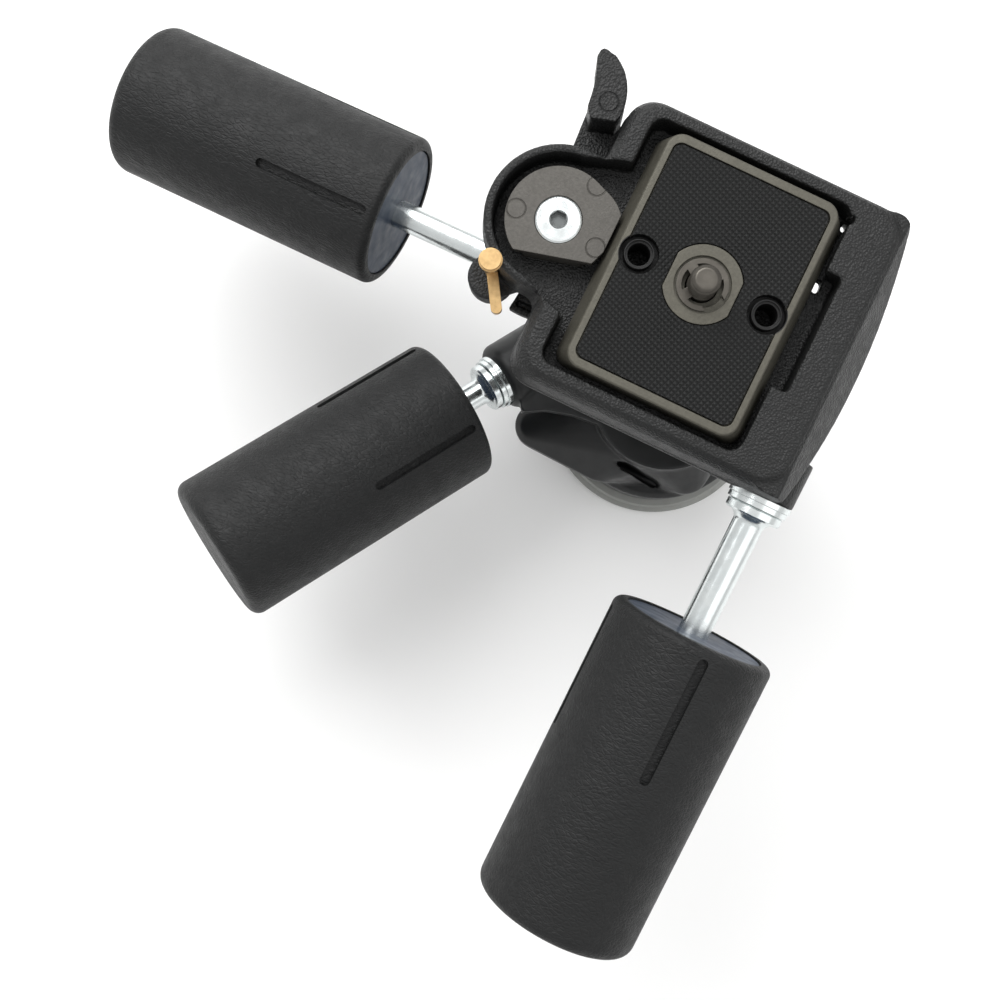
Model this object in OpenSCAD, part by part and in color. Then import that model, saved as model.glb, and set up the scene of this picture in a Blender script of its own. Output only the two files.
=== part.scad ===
// Three way pan tilt head for a camera, with three screw handles and a quick release plate.
// The origin is the centre of the base's underside, +Z is up. The side axle runs along X and the
// tilt axle along Y. The tilt handle points to -X and the side handle to -Y. Sizes are millimetres.

/* [Base] */
// Diameter of the base disc
base_d = 60; // [57:1:64]
// Thickness of the base disc
base_h = 5.5; // [5:0.5:7]
// Diameter of the spigot that the pan body turns on
spigot_d = 28; // [25:1:29]
// Height of the spigot's top over the floor
spigot_top = 42; // [41.5:0.5:43]
// Outer diameter of the tripod thread
tripod_thread_d = 9.525; // [6.35:0.005:9.6]
// Depth of the tripod thread
tripod_thread_depth = 12; // [9:0.5:14]

/* [Pan body] */
// Diameter of the skirt above the base
skirt_d = 53; // [50:1:55]
// Height of the skirt's top over the floor
skirt_top = 20; // [17:1:22]
// Diameter of the clamp collar
collar_d = 39; // [37.5:0.5:40]
// Height of the collar's top over the floor
collar_top = 44.5; // [44:0.5:46]
// Thickness of each ear that holds the tilt axle
ear_w = 7.5; // [6:0.5:8]
// Radius of the ears round the tilt axle
ear_r = 13.5; // [11:0.5:14.5]

/* [Tilt] */
// Height of the tilt axle over the floor
tilt_z = 61; // [61:0.5:63]
// Diameter of both axles
axle_d = 14; // [12:0.5:14.5]
// Width of the tilt block between the ears
tilt_w = 20; // [18:0.5:21]
// Radius of the tilt block round its axle
tilt_r = 14; // [12.5:0.5:14.5]
// Radius of the barrel round the side axle
barrel_r = 11.5; // [10:0.25:11.75]

/* [Side axle] */
// Distance of the side axle behind the pan axis
side_y = 13; // [12:0.5:14]
// Height of the side axle over the floor
side_z = 93.5; // [92.5:0.5:94]
// Diameter of the round cover on the right cheek
cap_d = 25; // [22:0.5:25.5]

/* [Platform] */
// Length of the platform's deck along Y
deck_l = 65; // [63:0.5:67]
// Height of the deck's underside over the floor
deck_z = 111.2; // [110.8:0.2:112]
// Thickness of the deck under the plate
floor_t = 3.8; // [3:0.2:4.4]
// Height of the rim round the pocket
rim_h = 8; // [7:0.5:8.5]
// Outer radius of the round cam housing
housing_r = 16; // [15.5:0.25:17]
// Inner radius of the round cam housing
housing_in_r = 13.7; // [13.5:0.1:14]

/* [Quick release plate] */
// Length of the plate
plate_l = 52.5; // [50:0.5:53.5]
// Width of the plate across its dovetail
plate_w = 42.5; // [42:0.25:42.75]
// Width of the plate's top face
plate_top_w = 38.2; // [36:0.2:39]
// Thickness of the plate
plate_h = 10; // [9.5:0.25:11]
// Outer diameter of the camera screw's thread
camera_thread_d = 6.35; // [5:0.05:6.6]
// Height of the camera screw over the plate
camera_screw_h = 6.3; // [4:0.1:8]

/* [Handles] */
// Diameter of the rubber grips
grip_d = 38; // [34:0.5:38.5]
// Length of the rubber grips
grip_l = 71.5; // [62:0.5:76]
// Wall of the rubber grips
grip_wall = 2.8; // [2:0.2:3.6]
// Number of grooves round each grip
groove_n = 4; // [3:1:6]
// Length of the grooves in the grips
groove_l = 29.5; // [20:0.5:40]
// Diameter of the handle rods
rod_d = 7; // [6:0.25:7.5]
// Outer diameter of the threaded shanks
shank_d = 8; // [7.6:0.1:8.2]
// Diameter of the forged flanges
flange_d = 12.8; // [12:0.2:13.6]
// Diameter of the loose washers
washer_d = 14.4; // [13.4:0.2:14.6]
// Slope of the tilt and side handles below level
droop = 5.5; // [3:0.5:7]
// Slope of the pan handle above level
rise = 15.2; // [12:0.2:17]
// Distance from the tilt clamp's screw foot to the tilt handle's core
tilt_reach = 80.5; // [70:0.5:88]
// Distance from the pan clamp's screw foot to the pan handle's core
pan_reach = 51; // [48:1:58]
// Distance from the side clamp's screw foot to the side handle's core
side_reach = 52; // [45:1:62]

/* [Lever] */
// Radius of the cam disc
cam_r = 11.2; // [10.6:0.1:11.4]
// Radius of the cam's nose
nose_r = 13.2; // [13:0.05:13.3]
// Radius of the lever's hub
hub_r = 11.5; // [10.5:0.25:11.75]
// Thickness of the lever's arm
lever_h = 5.4; // [4.4:0.2:6]
// Height of the finger's top over the deck's underside
finger_h = 8.8; // [7:0.2:10]
// Radius of the brass catch's head
catch_r = 2.5; // [2.2:0.05:2.6]
// Length of the brass catch's arm
catch_l = 9.8; // [8:0.2:10.8]

/* [Hidden] */
$fn = 72;
hull_fn = 32;
// Radial clearance of turning fits, of seated fits and of screws in their holes
fit_run = 0.05;
fit_seat = 0.02;
fit_screw = 0.3;
// Gap between flat faces that turn past each other
side_gap = 0.3;
slot_w = 1.6;

spigot_r = spigot_d / 2;
thrust_t = 0.6;
pan_z = base_h + thrust_t;
bush_r = 7;
retainer_t = 1.5;
retainer_z = spigot_top - 4.4;
retainer_r = spigot_r + 2.6;
well_r = retainer_r + 0.4;
roof_z = spigot_top + 0.3;

axle_r = axle_d / 2;
ear_mid_y = 7.5;
ear_in_0 = ear_mid_y - tilt_w / 2 - side_gap;
ear_in_1 = ear_mid_y + tilt_w / 2 + side_gap;
ear_foot = ear_r + 1.8;
axle_screw_r = 6.5;
axle_screw_t = 3;

// Places of the platform's pieces
cam_c = [-39.5, 13.2];
deck_x0 = -36.9;
deck_x1 = 26;
deck_y1 = 45.1;
deck_y0 = deck_y1 - deck_l;
deck_in = 2.4;
deck_r = 6;
floor_z = deck_z + floor_t;
rim_z = floor_z + rim_h;
cheek_x0 = 17.5;
cheek_x1 = 31.6;
lug_x0 = -19;
lug_x1 = -11;
lug_r = 11.8;
cheek_r = 13;
barrel_x0 = lug_x1 + side_gap;
barrel_x1 = cheek_x0 - side_gap;
plate_c = [-7, 13.2];
plate_z = floor_z;
plate_top = plate_z + plate_h;
lip_x = plate_c[0] + plate_w / 2 + 0.3;
plate_end_gap = 1.7;
pocket_x0 = -30.7;
pocket_y0 = plate_c[1] - plate_l / 2 - plate_end_gap;
pocket_y1 = plate_c[1] + plate_l / 2 + plate_end_gap;
cap_t = 1.7;

// The cheek's back passes in front of the rear ear's foot, and its step passes over the ear's
// outer face, when both tilts stand at 90 degrees
ear_gap = 0.5;
cheek_back = side_y + side_z - tilt_z - ear_foot - ear_gap;
cheek_step = side_z + ear_in_1 + ear_w - side_y + ear_gap;

// Places of the three handles: foot of the screw, direction, slope, jaw face and nut, along the axis
tilt_foot = [0, 8.8, tilt_z + 14];
pan_foot_r = 27.6;
pan_az = 238.7;
pan_foot = [pan_foot_r * sin(pan_az), -pan_foot_r * cos(pan_az), 31.5];
side_foot = [25.4, 0, side_z + 11.3];
tilt_jaw = 22;
pan_jaw = 36;
side_jaw = 18.6;
nut_r = 7.5;
nut_t = 6.4;
tilt_nut_s = -5;
pan_nut_s = -17;
side_nut_s = -20.6;
side_nut_r = 5.2;
washer_t = 1.3;
flange_t = 2.2;
rod_r = rod_d / 2;
shank_r = shank_d / 2;
screw_hole_r = shank_r + fit_screw;
knuckle_r = 9.2;
tilt_boss_r = 6.5;
grip_r = grip_d / 2;
core_r = grip_r - grip_wall;
core_wall = 2.6;
core_disc_t = 4;
lip = 0.4;
grip_round = 3;
open_round = 1.9;
groove_w = 2.3;
groove_depth = 1.2;
groove_start = 2.3;
// Length of the core's boss, which the rod fills
boss_l = 42;
// Turn of each grip's grooves from its upper side
tilt_roll = -18;
pan_roll = -27.6;
side_roll = -6.5;

// The catch's pivot lies just outside the housing
catch_c = cam_c + 16.5 * [cos(238), sin(238)];
catch_az = -57.8;
catch_boss_c = [-48, -2];
catch_boss_r = 5;
catch_z = deck_z + 0.9;
catch_pin_r = 0.8;
catch_post_r = 1.6;

lever_z = deck_z - lever_h - 0.4;
pivot_r = 6;
spring_wire = 1.1;
spring_r = 8.5;
spring_turns = 2.2;
cam_z = floor_z + 0.3;
cam_top = floor_z + 6.2;
cam_screw_r = 4.9;

// Points of an arc about c from angle a0 to a1
function arc(c, r, a0, a1, n = 10) =
    [for (i = [0 : n]) c + r * [cos(a0 + (a1 - a0) * i / n), sin(a0 + (a1 - a0) * i / n)]];

// Outline of a rectangle with round corners
function round_rect(x0, y0, x1, y1, r) = concat(
    arc([x1 - r, y0 + r], r, -90, 0),
    arc([x1 - r, y1 - r], r, 0, 90),
    arc([x0 + r, y1 - r], r, 90, 180),
    arc([x0 + r, y0 + r], r, 180, 270));

// A slab between two heights
module slab(z0, z1) {
    translate([0, 0, z0]) linear_extrude(z1 - z0) children();
}

// A profile in XZ, drawn as XY, extruded from y0 to y1
module along_y(y0, y1) {
    translate([0, y1, 0]) rotate([90, 0, 0]) linear_extrude(y1 - y0) children();
}

// A profile in YZ, drawn as XY, extruded from x0 to x1
module along_x(x0, x1) {
    translate([x0, 0, 0]) rotate([90, 0, 90]) linear_extrude(x1 - x0) children();
}

// A cylinder along Z between two heights
module rod(r, z0, z1) {
    translate([0, 0, z0]) cylinder(r = r, h = z1 - z0);
}

// The frame of a handle: its +Z runs out along the screw, and its -X is its upper side
module screw_frame(foot, az, slope) {
    translate(foot) rotate([0, 90 - slope, az]) children();
}

module tilt_frame() {
    screw_frame(tilt_foot, 180, -droop) children();
}

module pan_frame() {
    screw_frame(pan_foot, pan_az, rise) children();
}

module side_frame() {
    screw_frame(side_foot, 270, -droop) children();
}

// ---------------------------------------------------------------- base

// Round base with a stepped edge, a cupped spigot and a groove for the retainer
module base_disc() {
    step_r = base_d / 2 - 1.3;
    groove_r = spigot_r - 1.2;
    cup_r = spigot_r - 4;
    color([0.78, 0.78, 0.76])
    rotate_extrude()
    polygon([
        [bush_r + fit_seat, 0], [base_d / 2 - 0.7, 0], [base_d / 2, 0.7],
        [base_d / 2, base_h * 0.45], [step_r, base_h * 0.5], [step_r, base_h - 0.5],
        [step_r - 0.5, base_h], [spigot_r, base_h],
        [spigot_r, retainer_z], [groove_r, retainer_z],
        [groove_r, retainer_z + retainer_t + 0.04], [spigot_r, retainer_z + retainer_t + 0.04],
        [spigot_r, spigot_top - 0.8], [spigot_r - 0.8, spigot_top],
        [cup_r, spigot_top], [cup_r, tripod_thread_depth + 4],
        [bush_r + fit_seat, tripod_thread_depth + 4]
    ]);
}

// Steel bush with the tripod thread, closed at its top
module tripod_bush() {
    color([0.55, 0.55, 0.54])
    rotate_extrude()
    polygon([
        [tripod_thread_d / 2, 0.2], [bush_r, 0.2], [bush_r, tripod_thread_depth + 3],
        [0, tripod_thread_depth + 3], [0, tripod_thread_depth], [tripod_thread_d / 2, tripod_thread_depth]
    ]);
}

// Thin washer that the pan body slides on
module thrust_washer() {
    color([0.85, 0.85, 0.8])
    difference() {
        rod(skirt_d / 2 - 1, base_h, pan_z);
        rod(spigot_r + 0.4, base_h - 1, pan_z + 1);
    }
}

// Split ring in the spigot's groove that keeps the pan body down
module pan_retainer() {
    color([0.6, 0.6, 0.6])
    difference() {
        rod(retainer_r, retainer_z + 0.02, retainer_z + retainer_t + 0.02);
        rod(spigot_r - 1.2 + fit_seat, retainer_z - 1, retainer_z + retainer_t + 1);
        translate([0, -1.5, retainer_z - 1]) cube([retainer_r + 1, 3, retainer_t + 2]);
    }
}

// ---------------------------------------------------------------- pan body

brim_z0 = skirt_top - 2;
brim_z1 = skirt_top + 7;
skirt_edge = 1.5;

// A lobe of the brim, which falls away from the collar to round corners
module brim_lobe(corners) {
    hull() {
        translate([0, 0, brim_z0]) cylinder(r = skirt_d / 2 - 3.5, h = 1, $fn = hull_fn);
        translate([0, 0, collar_top - 9]) cylinder(r = collar_d / 2 - 1, h = 1, $fn = hull_fn);
        for (c = corners) {
            translate([c[0], c[1], brim_z0 + 1]) cylinder(r = c[2], h = brim_z1 - brim_z0 - 3, $fn = hull_fn);
            translate([c[0], c[1], brim_z1 - 2]) cylinder(r = c[2] - 1.6, h = 2, $fn = hull_fn);
        }
    }
}

// One of the two ears that hold the tilt axle
module ear(y0, y1) {
    foot_z = collar_top + 2;
    along_y(y0, y1)
    polygon(concat([[-ear_foot, skirt_top], [ear_foot, skirt_top], [ear_foot, collar_top - 1], [ear_r + 0.4, foot_z]],
        arc([0, tilt_z], ear_r, 0, 180, 24), [[-ear_r - 0.4, foot_z], [-ear_foot, collar_top - 1]]));
}

// Knuckle of the pan clamp along its screw, with a rounded outer end
module knuckle() {
    s0 = pan_nut_s - nut_t - 1.5;
    rotate_extrude()
    polygon(concat([[0, s0], [knuckle_r - 1, s0], [knuckle_r, s0 + 1]],
        arc([knuckle_r - 2.4, pan_jaw - 2.4], 2.4, 0, 90, 8), [[0, pan_jaw]]));
}

// Wing at the collar's top that ties the knuckle to it
module wing() {
    slab(collar_top - 7, collar_top)
    polygon([[-12, -14.6], [-20, -15.4], [-27, -17.4], [-32.5, -20.6], [-36, -14], [-30, 0], [-17, 6]]);
}

// The slit in the brim, with pointed ends
module brim_slit() {
    slab(brim_z0 + 1, collar_top)
    polygon([[-5, -20.7], [-1.5, -21.8], [8, -21.9], [11, -21], [8, -20], [-1.5, -19.7]]);
}

// Opening over the spigot between the ears, through which the retainer goes in
module well_mouth(gap) {
    intersection() {
        circle(r = well_r - gap);
        translate([-well_r, ear_in_0 + gap]) square([2 * well_r, ear_in_1 - ear_in_0 - 2 * gap]);
    }
}

// Casting with the skirt, the split collar, the knuckle of the pan clamp and the two ears
module pan_body() {
    split_z = skirt_top + 0.8;
    color([0.2, 0.2, 0.21])
    difference() {
        union() {
            rod(skirt_d / 2, pan_z, skirt_top - skirt_edge);
            translate([0, 0, skirt_top - skirt_edge])
            cylinder(r1 = skirt_d / 2, r2 = skirt_d / 2 - skirt_edge, h = skirt_edge);
            rod(collar_d / 2, pan_z, collar_top);
            brim_lobe([[-27.5, -20.5, 6.3], [-8, -19, 8.4], [-16, 0, 8]]);
            brim_lobe([[14.5, -14.2, 6.3], [1, -15.5, 5.6], [8, 4, 12]]);
            ear(ear_in_0 - ear_w, ear_in_0);
            ear(ear_in_1, ear_in_1 + ear_w);
            wing();
            pan_frame() {
                knuckle();
                translate([-knuckle_r, 0, -16]) cube([2 * knuckle_r - 1, pan_foot_r - spigot_r, 32]);
            }
        }
        rod(spigot_r + fit_run, 0, retainer_z);
        rod(well_r, retainer_z - 0.1, roof_z);
        slab(roof_z - 1, collar_top + 1) well_mouth(0);
        rod(60, -10, pan_z);
        // room for the tilt block between the ears
        along_y(ear_in_0, ear_in_1) translate([0, tilt_z]) circle(r = tilt_r + 1);
        along_y(ear_in_0, ear_in_1) translate([-20, collar_top + 0.2]) square([40, 40]);
        // seats of the tilt axle
        along_y(-40, 60) translate([0, tilt_z]) circle(r = axle_r + fit_seat);
        brim_slit();
        pan_frame() {
            rod(screw_hole_r, -60, 60);
            rod(20, pan_jaw, 60);
            // hexagon for the captive nut
            translate([0, 0, pan_nut_s - nut_t - 20]) rotate(30) cylinder(r = nut_r + 0.1, h = nut_t + 20, $fn = 6);
        }
        // split of the collar, above the skirt
        intersection() {
            pan_frame() translate([-40, -40, -slot_w / 2]) cube([80, 40 + pan_foot_r, slot_w]);
            rod(80, split_z, collar_top + 1);
        }
    }
}

// Plate that closes the opening over the spigot
module pan_cover() {
    color([0.18, 0.18, 0.19])
    difference() {
        slab(roof_z, collar_top - 0.4) well_mouth(fit_seat);
        // relief beside the split, where the collar closes
        rotate(pan_az - 90) translate([-3, well_r - 2.4, roof_z - 1]) cube([6, 8, 10]);
    }
}

// Axle of the tilt, flush with the ears and tapped at both ends
module tilt_axle() {
    color([0.7, 0.7, 0.72])
    difference() {
        along_y(ear_in_0 - ear_w, ear_in_1 + ear_w) translate([0, tilt_z]) circle(r = axle_r);
        along_y(ear_in_0 - ear_w - 1, ear_in_0 + 6) translate([0, tilt_z]) circle(r = 2.5);
        along_y(ear_in_1 - 6, ear_in_1 + ear_w + 1) translate([0, tilt_z]) circle(r = 2.5);
    }
}

// The two screws in the tilt axle's ends
module axle_screws() {
    y0 = ear_in_0 - ear_w;
    y1 = ear_in_1 + ear_w;
    for (end = [[y0, -90], [y1, 90]])
        color([0.62, 0.62, 0.63])
        translate([0, end[0], tilt_z]) rotate([-end[1], 0, 0])
        difference() {
            union() {
                rod(axle_r + 1.6, 0, 1.2);
                rod(axle_screw_r, 1.2, 1.2 + axle_screw_t);
                rod(2.5 - fit_seat, -10, 0);
            }
            translate([0, 0, 1.6]) cylinder(r = 2.3, h = 5, $fn = 6);
        }
}

// ---------------------------------------------------------------- tilt block

tilt_y0 = ear_mid_y - tilt_w / 2;
tilt_y1 = ear_mid_y + tilt_w / 2;
jaw_top = side_z - barrel_r - 1.3;

// Split clamp round the tilt axle, with the barrel of the side axle above it
module tilt_block() {
    neck_x = 14;
    color([0.16, 0.16, 0.17])
    difference() {
        union() {
            along_y(tilt_y0, tilt_y1)
            polygon(concat([[neck_x, jaw_top], [-neck_x + 1.5, jaw_top], [-neck_x, jaw_top - 1.5]],
                arc([0, tilt_z], tilt_r, 180, 360, 24)));
            along_x(slot_w / 2, neck_x)
            polygon([[tilt_y0, tilt_z + 5], [tilt_y1, tilt_z + 5], [tilt_y1, tilt_z + ear_r + 1.5],
                [side_y + barrel_r, side_z - 4], [side_y + barrel_r, side_z], [side_y - barrel_r, side_z],
                [tilt_y0, jaw_top]]);
            along_x(barrel_x0, barrel_x1) translate([side_y, side_z]) circle(r = barrel_r);
            tilt_frame() {
                rod(tilt_boss_r, 8, tilt_jaw);
            }
        }
        along_y(tilt_y0 - 1, tilt_y1 + 1) translate([0, tilt_z]) circle(r = axle_r + fit_run);
        along_x(barrel_x0 - 1, barrel_x1 + 1) translate([side_y, side_z]) circle(r = axle_r + fit_seat);
        // split of the clamp, which leaves the handle's jaw free
        along_y(-40, 60) translate([-slot_w / 2, tilt_z]) square([slot_w, jaw_top + 1.1 - tilt_z]);
        along_y(tilt_y0 - 1, tilt_y1 + 1) translate([-40, jaw_top]) square([40 + slot_w / 2, 1.1]);
        tilt_frame() {
            rod(screw_hole_r, -60, 60);
            translate([0, 0, tilt_nut_s - nut_t - 20]) rotate(30) cylinder(r = nut_r + 0.1, h = nut_t + 20, $fn = 6);
        }
    }
}

// Axle of the side tilt, fixed in the barrel
module side_axle() {
    color([0.7, 0.7, 0.72])
    along_x(lug_x0 + 0.5, cheek_x1 - cap_t - 0.4) translate([side_y, side_z]) circle(r = axle_r);
}

// ---------------------------------------------------------------- platform

fillet = 2.6;
fillet_reach = housing_r + fillet;
fillet_x = deck_x0 - fillet;
fillet_rise = sqrt(fillet_reach * fillet_reach - pow(fillet_x - cam_c[0], 2));

// Filling of the corner between the deck and the cam housing, before its round is cut
module fillet_block(side) {
    centre = [fillet_x, cam_c[1] + side * fillet_rise];
    touch = cam_c + housing_r * (centre - cam_c) / fillet_reach;
    polygon([[deck_x0, centre[1]], centre, touch, touch + [0, -side * 2], [deck_x0 + 2, touch[1] - side * 2]]);
}

// The two filled corners; their rounds open towards the rim's top
module deck_fillets(z0, z1, open) {
    for (side = [-1, 1])
        difference() {
            slab(z0, z1) fillet_block(side);
            translate([fillet_x, cam_c[1] + side * fillet_rise, z0 - 0.1])
            cylinder(r1 = fillet + 0.02, r2 = fillet + 0.02 + open, h = z1 - z0 + 0.2);
        }
}

// Outline of the pocket, which joins the plate's room with the cam's
module pocket_outline() {
    join_r = 2.5;
    join_y0 = cam_c[1] - 16.6;
    join_y1 = cam_c[1] + 16.2;
    polygon(round_rect(pocket_x0, pocket_y0, lip_x, pocket_y1, 3));
    translate(cam_c) circle(r = housing_in_r);
    polygon([
        cam_c + (housing_in_r - 0.5) * [cos(-115), sin(-115)], [pocket_x0 - 2.6, join_y0], [pocket_x0 + 1, join_y0 - 1],
        [pocket_x0 + 1, join_y1 + 1], [pocket_x0 - 2.6, join_y1], cam_c + (housing_in_r - 0.5) * [cos(105), sin(105)]]);
}

// Shape of the right cheek seen from its side
module cheek_profile() {
    polygon(concat(
        [[deck_y0 + 2, deck_z + 1], [deck_y0 + 1.6, side_z + 4.5], [deck_y0 + 4, side_z + 2]],
        arc([side_y, side_z], cheek_r, 215, 325, 20),
        [[cheek_back - 0.2, side_z + 4.3], [cheek_back, cheek_step],
            [deck_y1 - 7, deck_z - 3.6], [deck_y1 - 6.2, deck_z + 1]]));
}

// Right cheek with its bulged outer face, which leans in towards the rim
module cheek() {
    bulge_r = 110;
    intersection() {
        along_x(cheek_x0, cheek_x1 + 5) cheek_profile();
        slab(0, deck_z + 1) translate([cheek_x1 - bulge_r, side_y - 3]) circle(r = bulge_r, $fn = 360);
    }
    intersection() {
        slab(0, rim_z - 1)
        intersection() {
            translate([cheek_x1 - bulge_r, side_y - 3]) circle(r = bulge_r, $fn = 360);
            polygon(round_rect(cheek_x0, deck_y0 + 0.6, cheek_x1 + 0.5, deck_y1 - 0.6, 5.5));
        }
        along_y(deck_y0, deck_y1)
        polygon([[cheek_x0, deck_z + 1], [cheek_x1, deck_z + 1], [deck_x1, rim_z - 1], [cheek_x0, rim_z - 1]]);
    }
}

// Left lug of the side axle, with its web to the deck
module left_lug() {
    along_x(lug_x0, lug_x1)
    polygon(concat([[side_y + lug_r - 1, deck_z + 1], [side_y - lug_r + 1, deck_z + 1]],
        arc([side_y, side_z], lug_r, 180, 360, 20)));
}

// Casting with the rim, the plate's pocket, the cam housing, the fixed lip and both lugs
module platform() {
    lip_under = 1.4;
    window_y = [1, 27.1];
    window_x = 18.2;
    ledge_h = 2;
    color([0.13, 0.13, 0.13])
    difference() {
        union() {
            // deck and rim: a low ledge all round and a shoulder that leans in above it
            slab(deck_z, deck_z + ledge_h) {
                polygon(round_rect(deck_x0, deck_y0, deck_x1, deck_y1, deck_r));
                translate(cam_c) circle(r = housing_r);
            }
            deck_fillets(deck_z, deck_z + ledge_h, 0);
            deck_fillets(deck_z + ledge_h, rim_z - 0.4, 2.2);
            hull() {
                slab(deck_z + ledge_h - 0.1, deck_z + ledge_h)
                polygon(round_rect(deck_x0 + 0.3, deck_y0 + 0.3, deck_x1, deck_y1 - 0.3, deck_r));
                slab(rim_z - 3, rim_z - 2.9)
                polygon(round_rect(deck_x0 + 0.9, deck_y0 + 0.9, deck_x1, deck_y1 - 0.5, deck_r));
                slab(rim_z - 1.2, rim_z - 1.1)
                polygon(round_rect(deck_x0 + 1.7, deck_y0 + 1.7, deck_x1 - 0.3, deck_y1 - 1, deck_r));
                slab(rim_z - 0.1, rim_z)
                polygon(round_rect(deck_x0 + deck_in + 0.4, deck_y0 + deck_in + 0.4, deck_x1 - 1, deck_y1 - 1.9, deck_r));
            }
            translate([cam_c[0], cam_c[1], deck_z + ledge_h])
            cylinder(r1 = housing_r, r2 = housing_r - 0.5, h = rim_z - deck_z - ledge_h - 0.6);
            translate([cam_c[0], cam_c[1], rim_z - 0.6])
            cylinder(r1 = housing_r - 0.5, r2 = housing_r - 1.1, h = 0.6);
            cheek();
            left_lug();
            // ribs under the deck
            for (y = [side_y - 9, side_y + 9])
                translate([lug_x1 - 1, y - 1.2, deck_z - 3]) cube([cheek_x0 - lug_x1 + 2, 2.4, 3.5]);
            // boss of the catch
            translate([catch_boss_c[0], catch_boss_c[1], deck_z - 6]) cylinder(r = catch_boss_r, h = 6.6);
            slab(deck_z - 1.2, deck_z + 0.6)
            polygon([catch_boss_c + [-4, 3], catch_boss_c + [3, -4], [-40, -1], [-46, 2.8]]);
            // boss under the washers of the side clamp
            side_frame() rod(washer_d / 2, 8, side_jaw);
        }
        // pocket for the plate and the cam, undercut below the fixed lip
        slab(floor_z, rim_z + 1) pocket_outline();
        along_y(pocket_y0 + 1, pocket_y1 - 1)
        polygon([[0, floor_z], [lip_x + lip_under, floor_z], [lip_x + lip_under, floor_z + 2.6],
            [plate_c[0] + plate_top_w / 2 + 0.6, rim_z + 1], [0, rim_z + 1]]);
        // window in the fixed lip, with a slit through the deck at its back
        translate([lip_x - 1, window_y[0], floor_z])
        cube([window_x - lip_x + 1, window_y[1] - window_y[0], rim_z]);
        translate([lip_x - 0.2, window_y[1] - 3.4, deck_z - 1]) cube([1.5, 3, rim_z]);
        translate([lip_x - 0.3, pocket_y1 - 3.4, deck_z - 1]) cube([1.1, 2, rim_z]);
        // seat of the lever's pivot
        translate([cam_c[0], cam_c[1], deck_z - 5]) rod(pivot_r + fit_run, 0, 20);
        // room for the catch's head beside the housing
        translate([catch_c[0], catch_c[1], catch_z]) rod(catch_post_r + 0.15, 0, 20);
        translate([catch_c[0], catch_c[1], 0]) rod(catch_pin_r + fit_seat, deck_z - 10, rim_z);
        // bearings of the side axle and the seat of its cover
        along_x(lug_x0 - 1, cheek_x1 + 1) translate([side_y, side_z]) circle(r = axle_r + fit_run);
        along_x(cheek_x1 - cap_t, cheek_x1 + 2) translate([side_y, side_z]) circle(r = cap_d / 2 + 0.25);
        // split of the side clamp, which leaves the handle's jaw free
        along_x(cheek_x0 - 1, cheek_x1 + 1)
        translate([side_y - slot_w / 2, side_z]) square([slot_w, deck_z - side_z]);
        along_x(cheek_x0 - 1, cheek_x1 + 1)
        translate([deck_y0 - 5, deck_z - 1.2]) square([side_y + slot_w / 2 - deck_y0 + 5, 1.2]);
        side_frame() {
            rod(screw_hole_r, side_nut_s - nut_t - 1.4, 60);
            rod(12, side_jaw, 60);
            rod(side_nut_r + fit_seat, side_nut_s - nut_t, side_nut_s);
        }
    }
}

// Round cover over the side axle's end, with a turned recess
module axle_cap() {
    color([0.1, 0.1, 0.1])
    translate([cheek_x1 - cap_t, side_y, side_z]) rotate([0, 90, 0])
    rotate_extrude()
    polygon([[0, 0], [cap_d / 2, 0], [cap_d / 2, cap_t - 0.5], [cap_d / 2 - 0.4, cap_t - 0.1],
        [cap_d / 2 - 2.5, cap_t - 0.1], [cap_d / 2 - 3, cap_t - 0.6], [0, cap_t - 0.6]]);
}

// Pin that the brass catch turns on
module catch_pivot() {
    color([0.6, 0.6, 0.6])
    translate([catch_c[0], catch_c[1], 0]) rod(catch_pin_r, deck_z - 6, catch_z + 4.6);
}

// ---------------------------------------------------------------- quick release plate

pin_x = 14.35;
pin_r = 2.35;
pad_z = plate_top - 1.6;
skin_z = plate_top - 4.5;

// The metal islands that stand in the pad: one round the screw and one round each pin hole
module plate_islands(grow) {
    intersection() {
        circle(r = 8.2 + grow);
        square([2 * (7.3 + grow), 20], center = true);
    }
    for (x = [-pin_x, pin_x])
        translate([x, 0]) circle(r = 3.1 + grow * 4);
}

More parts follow.
